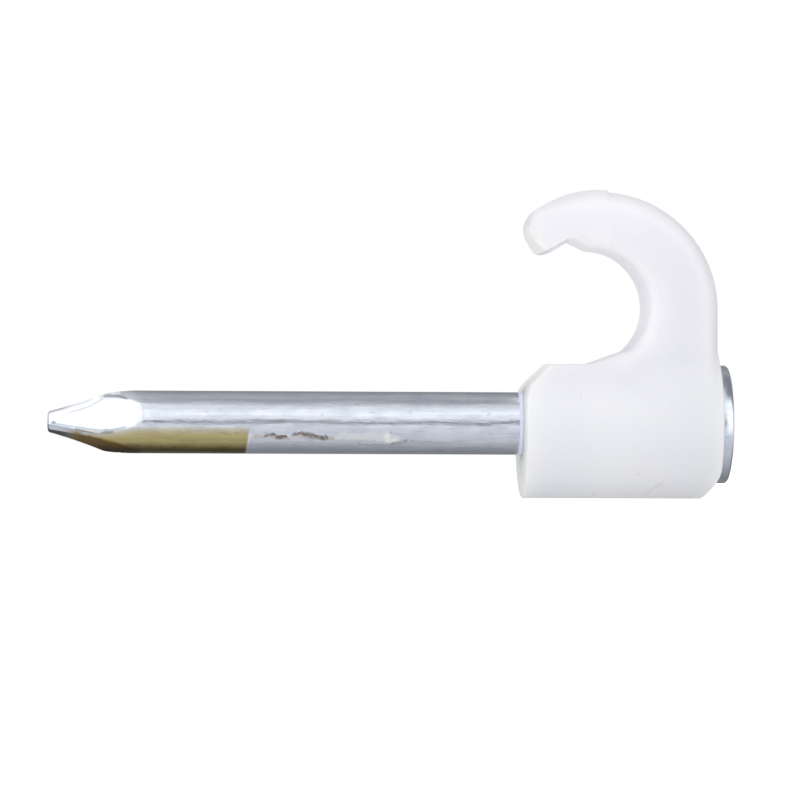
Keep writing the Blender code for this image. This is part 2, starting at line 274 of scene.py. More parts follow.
def rounding(distance, radius):
    """How far a rounded edge is drawn in, at a distance from the face that it rounds into."""
    t = np.clip(1 - distance / radius, 0, 1)
    return radius * (1 - np.sqrt(1 - t**2))


cable_side = join(saddle_rail, ramp_rail, arm_inner, np.vstack([arm_inner[-1:], toe_inner]))
back_side = join(
    line((BOSS_LENGTH, boss_bottom), (BOSS_LENGTH, HOOK_CENTRE[1]), 2),
    arc(HOOK_CENTRE, HOOK_RADIUS, 0, crown_end, 60),
    np.vstack([arc(HOOK_CENTRE, HOOK_RADIUS, 0, crown_end, 1)[-1:], toe_outer]),
)


def toe_distance(places):
    """How far places in the upper half of the hook lie behind the toe's end face."""
    behind = (places - NIB_FRONT) @ face_inward
    return np.where(places[..., 1] > CABLE_CENTRE[1], behind, BOSS_LENGTH)


def half_width(places, width, share):
    """Half the clip's width: a smooth maximum of the barrel's chord and the arm's width.

    The chord is sqrt(r * r - z * z). Where the two widths differ by less than the blend b,
    the maximum swells by (b - difference)^2 / (4 * b).
    """
    x, z = places[..., 0], places[..., 1]
    to_face = toe_distance(places)
    inset = rounding(x, FACE_EDGE) + rounding(to_face, TOE_FACE_ROUND)
    radius = BOSS_RADIUS - inset - rounding(BOSS_LENGTH - x, HEEL_ROUND)
    barrel = np.sqrt(np.clip(radius**2 - z**2, 0, None))
    to_cable = distance_to_path(places, cable_side)
    rounded = np.maximum(eased(x, GROOVE[0], GROOVE[0] + NIB_EDGE_START), z < CABLE_CENTRE[1])
    cable_flat = 1 - (1 - CABLE_FLAT_SHARE) * rounded
    arm = share * width / 2 * eased(z, *ARM_FADE) * cove(to_cable, x, z)
    arm = arm * shoulder(to_cable, cable_flat, CABLE_ROUND_DEPTH)
    on_nose = 1 - eased(to_face, *TOE_BLEND)
    back_flat = BACK_FLAT_SHARE + (TOE_BACK_SHARE - BACK_FLAT_SHARE) * on_nose
    back_depth = BACK_ROUND_DEPTH + (TOE_FACE_ROUND - BACK_ROUND_DEPTH) * on_nose
    arm = arm * shoulder(distance_to_path(places, back_side), back_flat, back_depth)
    arm = np.clip(arm - inset, 0, None)
    blend = np.minimum(ROOT_BLEND, np.minimum(barrel, arm))
    overlap = np.clip(blend - np.abs(barrel - arm), 0, None)
    return np.maximum(barrel, arm) + overlap**2 / (4 * np.maximum(blend, 1e-6))


probe = np.array([[3.0, 0.0], [6.0, 4.0]])
print("width of barrel and arm:", (2 * half_width(probe, HOOK_WIDTH, 1.0)).round(2), "mm")

# %% [markdown]
# ## From sections to one surface
# Every station gives one closed section: a flat towards the cable with softly rounded edges,
# two sides that follow the half width, and a flat or nearly sharp outside. All sections have
# the same number of points, so together they are a grid of two parameters, along the rails and
# round the section. The two ends are drawn in over a small radius, as a mould's edges are.

# %% Sections of the clip
CABLE_EDGE = 0.14
TOE_SHARE = 3.74 / HOOK_WIDTH
SIDE_STEPS = 44
EDGE_STEPS = 4

face_edge_x = FACE_EDGE * (1 - np.cos(np.radians([0, 15, 30, 45, 60, 75])))
face_run = NOSE_RADIUS - face_edge_x
face_height = nose_rail[0, 1] + np.sqrt(np.clip(NOSE_RADIUS**2 - face_run**2, 0, None))
in_face = boss_inner[:, 0] < FACE_EDGE
inner_rail = np.vstack([
    np.stack([face_edge_x, face_height], axis=1), boss_inner[~in_face], arm_inner[1:], toe_inner
])
outer_rail = np.vstack([
    np.stack([face_edge_x, np.full(len(face_edge_x), boss_bottom)], axis=1),
    boss_outer[~in_face], arm_outer[1:], toe_outer,
])
toe_place = np.zeros(len(inner_rail))
toe_place[-len(toe_inner):] = np.linspace(0, 1, len(toe_inner))
section_width = HOOK_WIDTH * (1 - (1 - TOE_SHARE) * eased(toe_place, 0, 1))
boss_count = len(face_edge_x) + int((~in_face).sum())
root_share = np.ones(len(inner_rail))
root_share[:boss_count] = eased(
    inner_rail[:boss_count, 0], (RAMP_START + nose[-1, 0]) / 2, ramp_top[0]
)
outer_inset = rounding(outer_rail[:, 0], FACE_EDGE)
inner_inset = outer_inset + rounding(toe_distance(inner_rail), TOE_EDGE)
print("sections:", len(inner_rail))


# %% Grid of the clip
def section_grid(inner, outer, width, share):
    """Points [station, place round the section] of the clip, in millimetres.

    A depth d below the inner rail is at inner + d * down. Over the rounded cable edge d is
    r * (1 - cos a) and the half width loses r * (1 - sin a). From there d follows
    (1 - cos t) / 2, which sets the points closer together towards both ends.
    """
    span = outer - inner
    length = np.linalg.norm(span, axis=1)[:, None]
    down = span / length
    start = inner + down * inner_inset[:, None]
    length = length - (inner_inset + outer_inset)[:, None]
    a = np.radians(np.linspace(0, 90, EDGE_STEPS + 1))[:-1]
    t = np.linspace(0, np.pi, SIDE_STEPS + 1)
    edge_depth = np.broadcast_to(CABLE_EDGE * (1 - np.cos(a)), (len(inner), EDGE_STEPS))
    side_depth = CABLE_EDGE + (length - CABLE_EDGE) * (1 - np.cos(t)) / 2
    depth = np.concatenate([edge_depth, side_depth], axis=1)
    loss = np.concatenate([CABLE_EDGE * (1 - np.sin(a)), np.zeros(SIDE_STEPS + 1)])
    places = start[:, None, :] + depth[..., None] * down[:, None, :]
    half = half_width(places, width[:, None], share[:, None]) - loss
    right = np.stack([places[..., 0], half, places[..., 1]], axis=-1)
    left = right[:, ::-1] * (1, -1, 1)
    return np.concatenate([right, left], axis=1)


clip_grid = section_grid(inner_rail, outer_rail, section_width, root_share)
print("grid:", clip_grid.shape[:2], "box in mm:", clip_grid.min((0, 1)).round(2),
      clip_grid.max((0, 1)).round(2))

# %% [markdown]
# ## Turning a grid into a closed mesh
# Rows of points become rows of four-cornered faces, and each ring closes on itself. The two end
# rings get one flat face each. The face list is arithmetic on the point numbers, so it is
# worked out as an array too. Blender then turns all faces outwards, in case a grid runs the
# other way round.

# %% Mesh helper
SMOOTH_ANGLE = 32.0


def tube_object(name, grid, smooth_angle=SMOOTH_ANGLE):
    """A closed mesh through the rings of a grid [ring, place round it] in millimetres.

    Face (i, j) has the corners (i, j), (i, j + 1), (i + 1, j + 1), (i + 1, j), with j counted
    round the ring, and point (i, j) has the number i * count + j.
    """
    rings, count = grid.shape[:2]
    i, j = np.meshgrid(np.arange(rings - 1), np.arange(count), indexing="ij")
    following = (j + 1) % count
    corners = [i * count + j, i * count + following]
    corners += [(i + 1) * count + following, (i + 1) * count + j]
    faces = np.stack(corners, axis=-1).reshape(-1, 4).tolist()
    faces.append(list(range(count)))
    faces.append(list(range((rings - 1) * count, rings * count)))
    mesh = bpy.data.meshes.new(name)
    mesh.from_pydata((grid.reshape(-1, 3) * MM).tolist(), [], faces)
    work = bmesh.new()
    work.from_mesh(mesh)
    bmesh.ops.recalc_face_normals(work, faces=work.faces)
    work.to_mesh(mesh)
    work.free()
    finish_shading(mesh, smooth_angle)
    made = bpy.data.objects.new(name, mesh)
    bpy.context.scene.collection.objects.link(made)
    return made


def finish_shading(mesh, smooth_angle):
    """Smooth faces, with edges kept sharp where they turn by more than an angle in degrees."""
    mesh.shade_smooth()
    mesh.set_sharp_from_angle(angle=math.radians(smooth_angle))


clip = tube_object("clip_moulding", clip_grid)
print(clip.name, "has", len(clip.data.polygons), "faces")

# %% [markdown]
# ## The bore through the boss
# The nail passes through a round bore. The clip's grid could be woven round the hole, but the
# hole cuts the nose face and the heel face, which belong to different rings. A Boolean modifier
# cuts both at once. It is applied here, so that the finished piece carries its own mesh and the
# cutter can go.

# %% Cut the bore
SIDES = 128
SHANK_RADIUS = 1.15
CLEARANCE = 0.03
BORE_RADIUS = SHANK_RADIUS + CLEARANCE
CUTTER_ENDS = (-1.0, 9.0)


def ring(x, radius, count=SIDES):
    """Points (x, radius * cos t, radius * sin t) for t evenly round a circle."""
    t = np.linspace(0, 2 * np.pi, count, endpoint=False)
    return np.stack([np.full(count, x), radius * np.cos(t), radius * np.sin(t)], axis=1)


cutter = tube_object("bore_cutter", np.stack([ring(x, BORE_RADIUS) for x in CUTTER_ENDS]))
bore = clip.modifiers.new("nail_bore", "BOOLEAN")
bore.operation = "DIFFERENCE"
bore.solver = "EXACT"
bore.object = cutter
evaluated = clip.evaluated_get(bpy.context.evaluated_depsgraph_get())
bored = bpy.data.meshes.new_from_object(evaluated)
clip.modifiers.clear()
clip.data = bored
finish_shading(bored, SMOOTH_ANGLE)
bpy.data.objects.remove(cutter)
print("bored moulding has", len(bored.polygons), "faces")

# %% [markdown]
# ## The nail's swaged point
# A wire nail gets its point between dies that press four flats into it, with a narrow flat left
# on each corner. The section at any place is what the eight flats leave of the round wire, so
# its radius at a turn t is the least of the wire's radius and distance / cos(t - facing) for
# each flat. Points spread evenly round the ring would cut across the edges of the flats and
# leave a saw-toothed line, so the ring's points are set out from edge to edge instead.

# %% Flats of the point
NAIL_LENGTH = 25.0
HEAD_RADIUS = 2.175
HEAD_THICKNESS = 0.43
NAIL_SEAT = BOSS_LENGTH + CLEARANCE
POINT_LENGTH = 3.50
SHOULDER_LENGTH = 2.08
POINT_END = 0.34
POINT_HOLLOW = 0.03
POINT_EDGE = 0.08
CORNER_FLAT = 0.22
POINT_TURN = math.radians(16.5)
SHOULDERS = np.array([0.88, 0.82, 0.96, 0.93])
RUN_OUT_SLOPES = np.array([1.5, 1.5, 0.0, 1.5])
FACINGS = np.arange(8) * np.pi / 4


def flat_distances(x):
    """Distances of the eight flats from the axis, for each x from the point's end.

    A main flat goes from the end to its shoulder, less a hollow 4 * h * s * (1 - s), and then
    runs out into the round by s * (k + (1 - k) * s), where k is the slope that it starts with.
    A corner flat cuts the corner of two of them.
    """
    s = np.clip(x / SHOULDER_LENGTH, 0, 1)[:, None]
    main = POINT_END + (SHOULDERS - POINT_END) * s - POINT_HOLLOW * 4 * s * (1 - s)
    s = np.clip((x - SHOULDER_LENGTH) / (POINT_LENGTH - SHOULDER_LENGTH), 0, 1)[:, None]
    main = main + (SHANK_RADIUS - SHOULDERS) * s * (RUN_OUT_SLOPES + (1 - RUN_OUT_SLOPES) * s)
    corner = (main + np.roll(main, -1, axis=1)) / math.sqrt(2) - CORNER_FLAT / 2
    return np.stack([main, corner], axis=2).reshape(len(x), 8)


shoulder_flats = flat_distances(np.array([SHOULDER_LENGTH]))
print("flats at the shoulder:", shoulder_flats.round(2), "mm")

# %% Turns and radii round the nail
EDGE_WIDTH = 0.02
FACE_POINTS = (13, 5)
GAP_POINTS = 3
LEAST_SPREAD = np.radians(np.tile([28.0, 5.0], 4))


def ring_turns(distances):
    """Turns of the ring's points, set out from edge to edge of the flats.

    A flat at distance d meets the round at acos(d / r) from its facing. It meets its
    neighbour, an eighth of a turn on, at atan2(n - d * cos 45, d * sin 45).
    """
    step = np.pi / 4
    following = np.roll(distances, -1, axis=1)
    reach = np.arccos(np.clip(distances / SHANK_RADIUS, -1, 1))
    reach = np.maximum(reach, LEAST_SPREAD)
    meet = FACINGS + np.arctan2(
        following - distances * math.cos(step), distances * math.sin(step)
    )
    soft = EDGE_WIDTH / distances
    whole_turn = 2 * np.pi * (FACINGS == FACINGS[-1])
    meet_before = np.roll(meet - whole_turn, 1, axis=1)
    end = np.minimum(FACINGS + reach, meet - soft)
    start = np.maximum(FACINGS - reach, meet_before + soft)
    next_start = np.roll(start, -1, axis=1) + whole_turn
    turns = []
    for k in range(8):
        across = np.linspace(0, 1, FACE_POINTS[k % 2])
        turns.append(start[:, k, None] + (end - start)[:, k, None] * across)
        between = np.linspace(0, 1, GAP_POINTS + 2)[1:-1]
        turns.append(end[:, k, None] + (next_start - end)[:, k, None] * between)
    return np.concatenate(turns, axis=1)


def ring_radii(turns, distances, inset):
    """The least of the wire's radius and (distance - inset) / cos(turn - facing) of each flat."""
    lean = np.cos(turns[..., None] - FACINGS)
    cut = (distances[:, None, :] - inset[:, None, None]) / np.maximum(lean, 0.05)
    cut = np.where(lean > 0.05, cut, np.inf)
    return np.minimum(SHANK_RADIUS - inset[:, None], cut.min(-1))


end_turn = np.radians(np.linspace(0, 90, 6))
end_x = POINT_EDGE * (1 - np.cos(end_turn))
end_inset = POINT_EDGE * (1 - np.sin(end_turn))
point_x = np.concatenate([
    end_x,
    np.linspace(POINT_EDGE, SHOULDER_LENGTH, 30)[1:],
    np.linspace(SHOULDER_LENGTH, POINT_LENGTH, 40)[1:],
    np.linspace(POINT_LENGTH, NAIL_LENGTH - HEAD_THICKNESS, 60)[1:],
])
nail_inset = np.concatenate([end_inset, np.zeros(len(point_x) - len(end_inset))])
distances = flat_distances(point_x)
turns_grid = ring_turns(distances)
radii_grid = ring_radii(turns_grid, distances, nail_inset)
print("nail rings:", radii_grid.shape, "widest", radii_grid.max().round(3), "mm")

# %% [markdown]
# ## The nail's head
# The head is struck cold from the wire: a thin disc with a rounded rim, flat below and very
# slightly crowned on top. It carries on from the shank's rings, with the same turns and radii
# that come from its own small profile. The profile ends close to the axis, where one small
# face closes it.

# %% Rings of the head and the whole nail
RIM_RADIUS = 0.12
HEAD_CROWN = 0.02
UNDER_EDGE = 0.06
NAIL_SMOOTH_ANGLE = 38.0

rim_centre = (HEAD_THICKNESS - RIM_RADIUS - HEAD_CROWN, HEAD_RADIUS - RIM_RADIUS)
rim = arc(rim_centre, RIM_RADIUS, 90, 0, 8)
under = arc((UNDER_EDGE, HEAD_RADIUS - UNDER_EDGE), UNDER_EDGE, 180, 90, 5)
crown_radius = np.linspace(HEAD_RADIUS - RIM_RADIUS, 0.1, 12)[1:]
crown_x = HEAD_THICKNESS - HEAD_CROWN * (crown_radius / HEAD_RADIUS) ** 2
head_profile = np.vstack([
    [(0.0, SHANK_RADIUS + 0.3)], under, rim, np.stack([crown_x, crown_radius], axis=1)
])
head_x = NAIL_LENGTH - HEAD_THICKNESS + head_profile[:, 0]
all_x = np.concatenate([point_x, head_x]) + NAIL_SEAT + HEAD_THICKNESS - NAIL_LENGTH
head_radii = np.repeat(head_profile[:, 1:], radii_grid.shape[1], axis=1)
all_radii = np.vstack([radii_grid, head_radii])
head_turns = np.repeat(turns_grid[-1:], len(head_x), axis=0)
all_turns = np.vstack([turns_grid, head_turns]) - POINT_TURN
nail_grid = np.stack([
    np.repeat(all_x[:, None], all_radii.shape[1], axis=1),
    all_radii * np.cos(all_turns),
    all_radii * np.sin(all_turns),
], axis=-1)
nail = tube_object("nail_steel", nail_grid, NAIL_SMOOTH_ANGLE)
print(nail.name, "has", len(nail.data.polygons), "faces, from x", all_x.min().round(2),
      "to", all_x.max().round(2), "mm")

# %% [markdown]
# ## Effects that both finishes share
# Old plastic and plated steel both look alive through faint blotches, and both carry a few
# single scratches and stains. Painting them into a picture would tie them to one unwrapping, so
# they are worked out from the object's own coordinates. Each effect is a node group with named
# inputs, built once, and each material places it with its own values.


# %% Node helpers
def add_node(tree, kind, settings=None, **inputs):
    """A node with its settings; an input is a plain value, or an output socket to link."""
    made = tree.nodes.new(kind)
    for name, value in (settings or {}).items():
        setattr(made, name, value)
    for name, value in inputs.items():
        key = int(name[1:]) if name[0] == "_" and name[1:].isdigit() else name.replace("_", " ")
        socket = made.inputs[key]
        if isinstance(value, bpy.types.NodeSocket):
            tree.links.new(value, socket)
        else:
            socket.default_value = value
    return made


def maths(tree, operation, first, second=0.0, clamp=False):
    """The output of a Math node."""
    settings = {"operation": operation, "use_clamp": clamp}
    return add_node(tree, "ShaderNodeMath", settings, _0=first, _1=second).outputs[0]


def vectors(tree, operation, first, second=(0.0, 0.0, 0.0)):
    """The output of a Vector Math node: a number for lengths and dot products."""
    made = add_node(tree, "ShaderNodeVectorMath", {"operation": operation}, _0=first, _1=second)
    return made.outputs["Value" if operation in ("LENGTH", "DOT_PRODUCT") else "Vector"]


def scaled(tree, vector, factor):
    """The output of a Vector Math node that scales a vector."""
    made = add_node(tree, "ShaderNodeVectorMath", {"operation": "SCALE"}, _0=vector, Scale=factor)
    return made.outputs["Vector"]


def ramp_between(tree, value, low, high, out_low=0.0, out_high=1.0):
    """A smooth step from out_low to out_high as value goes from low to high."""
    settings = {"interpolation_type": "SMOOTHSTEP"}
    inputs = dict(Value=value, From_Min=low, From_Max=high, To_Min=out_low, To_Max=out_high)
    return add_node(tree, "ShaderNodeMapRange", settings, **inputs).outputs["Result"]


def step_mm(tree, value, low, high):
    """A smooth step from 0 to 1 as value goes from low to high, both in millimetres."""
    return ramp_between(tree, value, low * MM, high * MM)


def all_of(tree, *masks):
    """1 where every mask is 1: their product."""
    product = masks[0]
    for one in masks[1:]:
        product = maths(tree, "MULTIPLY", product, one)
    return product


def sum_of(tree, *values):
    """The sum of several values."""
    total = values[0]
    for one in values[1:]:
        total = maths(tree, "ADD", total, one)
    return total


def mix_colour(tree, factor, first, second, blend="MIX"):
    """The output of a colour Mix node."""
    made = add_node(tree, "ShaderNodeMix", {"data_type": "RGBA", "blend_type": blend})
    for name, value in (("Factor_Float", factor), ("A_Color", first), ("B_Color", second)):
        socket = next(s for s in made.inputs if s.identifier == name)
        if isinstance(value, bpy.types.NodeSocket):
            tree.links.new(value, socket)
        else:
            socket.default_value = value
    return next(s for s in made.outputs if s.identifier == "Result_Color")


def new_group(name, inputs, outputs):
    """An empty node group with its sockets, and its two end nodes."""
    tree = bpy.data.node_groups.new(name, "ShaderNodeTree")
    for label, kind, value in inputs:
        socket = tree.interface.new_socket(name=label, in_out="INPUT", socket_type=kind)
        socket.default_value = value
    for label, kind in outputs:
        tree.interface.new_socket(name=label, in_out="OUTPUT", socket_type=kind)
    return tree, tree.nodes.new("NodeGroupInput"), tree.nodes.new("NodeGroupOutput")


print("node helpers ready")

# %% Blotches, and a mark along a line
VECTOR, NUMBER = "NodeSocketVector", "NodeSocketFloat"

blotches, given, result = new_group(
    "blotches",
    [("Place", VECTOR, (0, 0, 0)), ("Scale", NUMBER, 500.0), ("Detail", NUMBER, 3.0),
     ("Low", NUMBER, 0.35), ("High", NUMBER, 0.65)],
    [("Mask", NUMBER)],
)
clouds = add_node(
    blotches, "ShaderNodeTexNoise", None, Vector=given.outputs["Place"],
    Scale=given.outputs["Scale"], Detail=given.outputs["Detail"],
)
mask = ramp_between(blotches, clouds.outputs["Fac"], given.outputs["Low"], given.outputs["High"])
blotches.links.new(mask, result.inputs["Mask"])

mark, given, result = new_group(
    "mark_along_line",
    [("Place", VECTOR, (0, 0, 0)), ("Start", VECTOR, (0, 0, 0)), ("End", VECTOR, (0, 0, 0)),
     ("Width", NUMBER, 0.0001), ("Softness", NUMBER, 0.00005)],
    [("Mask", NUMBER)],
)
to_place = vectors(mark, "SUBTRACT", given.outputs["Place"], given.outputs["Start"])
along = vectors(mark, "SUBTRACT", given.outputs["End"], given.outputs["Start"])
share = maths(mark, "DIVIDE", vectors(mark, "DOT_PRODUCT", to_place, along),
              vectors(mark, "DOT_PRODUCT", along, along), clamp=True)
gap = vectors(mark, "LENGTH", vectors(mark, "SUBTRACT", to_place, scaled(mark, along, share)))
outer = maths(mark, "ADD", given.outputs["Width"], given.outputs["Softness"])
mask = ramp_between(mark, gap, outer, given.outputs["Width"])
mark.links.new(mask, result.inputs["Mask"])
print("groups:", [g.name for g in bpy.data.node_groups])

# %% Materials start from one Principled surface
BUMP_DEPTH = 0.004 * MM
SIDE_FADE = 0.1


def new_material(name):
    """A material with its node tree, its Principled shader and the object's coordinates."""
    made = bpy.data.materials.new(name)
    made.use_nodes = True
    tree = made.node_tree
    place = tree.nodes.new("ShaderNodeTexCoord").outputs["Object"]
    return made, tree, tree.nodes["Principled BSDF"], place


def use_group(tree, group, **inputs):
    """The mask of a node group placed in a material."""
    return add_node(tree, "ShaderNodeGroup", {"node_tree": group}, **inputs).outputs["Mask"]


def wobbled(tree, place, scale, amount):
    """Coordinates shifted by noise, by up to about half of amount in millimetres each way.

    An edge that is drawn on them wavers.
    """
    noise = add_node(tree, "ShaderNodeTexNoise", None, Vector=place, Scale=scale, Detail=2.0)
    centred = vectors(tree, "SUBTRACT", noise.outputs["Color"], (0.5, 0.5, 0.5))
    return vectors(tree, "ADD", place, scaled(tree, centred, amount * MM))


def painted(tree, colour, mask, strength, tint, blend="MIX"):
    """A colour with a tint laid over it where the mask is 1, at a strength from 0 to 1."""
    return mix_colour(tree, maths(tree, "MULTIPLY", mask, strength), colour, tint, blend)


def stretched(tree, place, scale):
    """Coordinates scaled by axis, so that a pattern on them is drawn out along an axis."""
    return add_node(tree, "ShaderNodeMapping", None, Vector=place, Scale=scale).outputs["Vector"]


def side_view(tree, place):
    """Coordinates with Y left out, so that a mark on them goes straight through the piece."""
    return vectors(tree, "MULTIPLY", place, (1.0, 0.0, 1.0))


def front_side(tree, place):
    """1 on the side that faces -Y and 0 on the other."""
    depth = add_node(tree, "ShaderNodeSeparateXYZ", None, Vector=place).outputs["Y"]
    return step_mm(tree, depth, SIDE_FADE, -SIDE_FADE)


def marks(tree, place, strokes, softness):
    """The union of straight strokes ((x, z), (x, z), half width) in millimetres."""
    union = None
    for start, end, width in strokes:
        one = use_group(
            tree, mark, Place=place, Start=(start[0] * MM, 0.0, start[1] * MM),
            End=(end[0] * MM, 0.0, end[1] * MM), Width=width * MM, Softness=softness * MM,
        )
        union = one if union is None else maths(tree, "MAXIMUM", union, one)
    return union


print("material helpers ready")

# %% [markdown]
# ## The white plastic
# The moulding is a soft white plastic with a faint lavender cast. Light enters it a little way
# and comes out softened, which subsurface scattering gives. Its colour could be one value, but a
# real moulding is a trace cooler round the barrel than up on the hook, and cloudy in between. So
# the colour is mixed from near whites, by height and by a large soft blotch, and darkened towards
# the bottom of the barrel as painted shade.

# %% Base colour of the plastic
plastic, tree, shader, place = new_material("white_plastic_satin")
exact = add_node(tree, "ShaderNodeSeparateXYZ", None, Vector=place).outputs
cast = use_group(tree, blotches, Place=place, Scale=260.0, Detail=2.0, Low=0.3, High=0.7)
on_hook = step_mm(tree, exact["Z"], 1.0, 4.0)
colour = mix_colour(tree, on_hook, (0.852, 0.862, 0.910, 1), (0.850, 0.840, 0.890, 1))
colour = painted(tree, colour, cast, 0.5, (0.872, 0.868, 0.905, 1))
# painted shade: the colour is darker towards the bottom of the barrel
painted_shade_below = step_mm(tree, exact["Z"], -1.75, -2.85)
colour = painted(tree, colour, painted_shade_below, 1.0, (0.92, 0.92, 0.92, 1), "MULTIPLY")
print("the base colour takes", len(tree.nodes), "nodes")

# %% [markdown]
# ## Painted light and shade over the moulding
# Thin white plastic glows where light comes through it: in the channel, on the bevel, at the end
# of the toe, under the nib and on the face at the wall, and there it gets painted light, bluish on
# that face. Where it is thick or turned away it looks greyer, as round the outside of the hook,
# towards the head, towards the wall and near the saddle, and there it gets painted shade. A
# renderer can follow light through plastic, but only slowly and with noise, so faint tints by
# place help it here. Each mask is a soft step along a coordinate, or across the distance from a
# centre or a line of the profile.

# %% Painted light and shade by place
# a stroke of painted light on the underside of the nib
UNDER_NIB_PAINTED_LIGHT = [(GROOVE, (2.36, 6.46), 0.03)]
BEVEL_LINE = SADDLE_HEIGHT - nose[-1, 0]


def distance_from(tree, place, centre):
    """The distance from a centre (x, z) in millimetres, as seen from the side."""
    middle = (centre[0] * MM, 0.0, centre[1] * MM)
    return vectors(tree, "LENGTH", vectors(tree, "SUBTRACT", side_view(tree, place), middle))


x, z = exact["X"], exact["Z"]
low_half = step_mm(tree, z, 3.2, 2.4)
to_cable = distance_from(tree, place, CABLE_CENTRE)
to_back = distance_from(tree, place, HOOK_CENTRE)
to_toe = vectors(tree, "SUBTRACT", place, (NIB_FRONT[0] * MM, 0.0, NIB_FRONT[1] * MM))
behind_toe = vectors(tree, "DOT_PRODUCT", to_toe, (face_inward[0], 0.0, face_inward[1]))
up_left = maths(tree, "SUBTRACT", z, x)

channel_painted_light = all_of(tree, step_mm(tree, to_cable, CABLE_RADIUS + 0.30, CABLE_RADIUS + 0.05),
                    step_mm(tree, z, 2.6, 4.2))
outer_edge_painted_shade = all_of(tree, step_mm(tree, to_back, HOOK_RADIUS - 0.60, HOOK_RADIUS - 0.05),
                    step_mm(tree, z, 4.5, 6.5))
head_end_painted_shade = step_mm(tree, x, 2.5, 7.0)
wall_end_painted_shade = step_mm(tree, x, 3.4, 0.2)
toe_end_painted_light = all_of(tree, step_mm(tree, behind_toe, 0.24, 0.08), step_mm(tree, z, 5.6, 6.0))
under_nib_painted_light = marks(tree, side_view(tree, place), UNDER_NIB_PAINTED_LIGHT, 0.10)
saddle_painted_shade = all_of(tree, low_half, step_mm(tree, z, 0.5, 1.7), step_mm(tree, x, 5.2, 3.8))
bevel_painted_light = all_of(tree, step_mm(tree, up_left, BEVEL_LINE - 0.06, BEVEL_LINE - 0.01), low_half)
wall_face_painted_light = all_of(tree, step_mm(tree, x, 0.03, 0.01), low_half)
# the lighter tints are painted light, a bluish one on the wall face, and the darker and multiplied
# ones are painted shade
PAINTED_LIGHT_AND_SHADE = [
    (channel_painted_light, (0.905, 0.90, 0.940, 1), "MIX"),
    (outer_edge_painted_shade, (0.785, 0.785, 0.825, 1), "MIX"),
    (head_end_painted_shade, (0.94, 0.945, 0.945, 1), "MULTIPLY"),
    (wall_end_painted_shade, (0.955, 0.96, 0.96, 1), "MULTIPLY"),
    (toe_end_painted_light, (0.93, 0.93, 0.955, 1), "MIX"),
    (under_nib_painted_light, (0.965, 0.96, 0.985, 1), "MIX"),
    (saddle_painted_shade, (0.95, 0.95, 0.95, 1), "MULTIPLY"),
    (bevel_painted_light, (0.965, 0.97, 0.985, 1), "MIX"),
    (wall_face_painted_light, (0.88, 0.91, 1.0, 1), "MIX"),
]
for mask, tint, blend in PAINTED_LIGHT_AND_SHADE:
    colour = painted(tree, colour, mask, 1.0, tint, blend)
print(len(PAINTED_LIGHT_AND_SHADE), "tones laid over the base")

# %% [markdown]
# ## Marks in the plastic, and a painted shadow
# In a box full of nails the moulding has gathered a few fine scratches and nicks on its near
# side, and a thin dark line of painted shadow lies where the toe meets the nib's groove. The
# scratches could be cut into the mesh, but they are finer than its faces. So each mark is a
# straight stroke (start, end, half width) in the side view, and wavering coordinates keep the
# scratches from looking ruled.

# %% Scratches, nicks and the painted shadow at the nib
SCRATCHES = [
    ((5.00, -2.16), (4.78, -2.27), 0.014), ((4.85, -2.24), (4.47, -2.60), 0.006),
    ((4.10, -1.81), (4.06, -1.83), 0.012), ((2.59, -2.55), (2.56, -2.56), 0.012),
]
FAINT_MARKS = [((1.96, 1.10), (1.95, 0.93), 0.006)]
# painted shadow: a thin dark stroke along the nib's lower edge
NIB_PAINTED_SHADOW = [((0.71, 6.25), (1.49, 6.68), 0.022)]
MARK_AND_SHADOW_GREY = (0.42, 0.42, 0.47, 1)

scratch_place = side_view(tree, wobbled(tree, place, 3000.0, 0.12))
front = front_side(tree, place)
scratches = all_of(tree, marks(tree, scratch_place, SCRATCHES, 0.03), front)
faint = all_of(tree, marks(tree, scratch_place, FAINT_MARKS, 0.04), front)
# the nib's painted shadow, drawn without wobble
nib_painted_shadow = marks(tree, side_view(tree, place), NIB_PAINTED_SHADOW, 0.05)
for mask, strength in ((scratches, 0.30), (faint, 0.10), (nib_painted_shadow, 0.55)):
    colour = painted(tree, colour, mask, strength, MARK_AND_SHADOW_GREY)
tree.links.new(colour, shader.inputs["Base Color"])
print(len(SCRATCHES) + len(FAINT_MARKS) + len(NIB_PAINTED_SHADOW), "marks on the plastic")

# %% [markdown]
# ## The satin skin
# The skin is satin and very slightly uneven, as the steel of a mould leaves it. That is far
# finer than the mesh, so the Bump node carries it, and the scratches are a little sunk. The
# light spreads about 1.5 mm inside the plastic, which softens its shadows.

# %% Roughness, relief and light inside the plastic
skin = use_group(tree, blotches, Place=place, Scale=2600.0, Detail=3.0, Low=0.2, High=0.8)
grain = use_group(tree, blotches, Place=place, Scale=14000.0, Detail=2.0, Low=0.25, High=0.75)
tree.links.new(ramp_between(tree, skin, 0.0, 1.0, 0.40, 0.50), shader.inputs["Roughness"])
height = sum_of(tree, skin, maths(tree, "MULTIPLY", grain, 0.12))
height = maths(tree, "SUBTRACT", height, maths(tree, "MULTIPLY", scratches, 2.0))
bump = add_node(tree, "ShaderNodeBump", None, Strength=1.0, Distance=BUMP_DEPTH, Height=height)
tree.links.new(bump.outputs["Normal"], shader.inputs["Normal"])
shader.inputs["Specular IOR Level"].default_value = 0.35
shader.inputs["Subsurface Weight"].default_value = 1.0
shader.inputs["Subsurface Radius"].default_value = (1.0, 0.95, 1.0)
shader.inputs["Subsurface Scale"].default_value = 1.5 * MM
clip.data.materials.clear()
clip.data.materials.append(plastic)
print(plastic.name, "has", len(tree.nodes), "nodes")

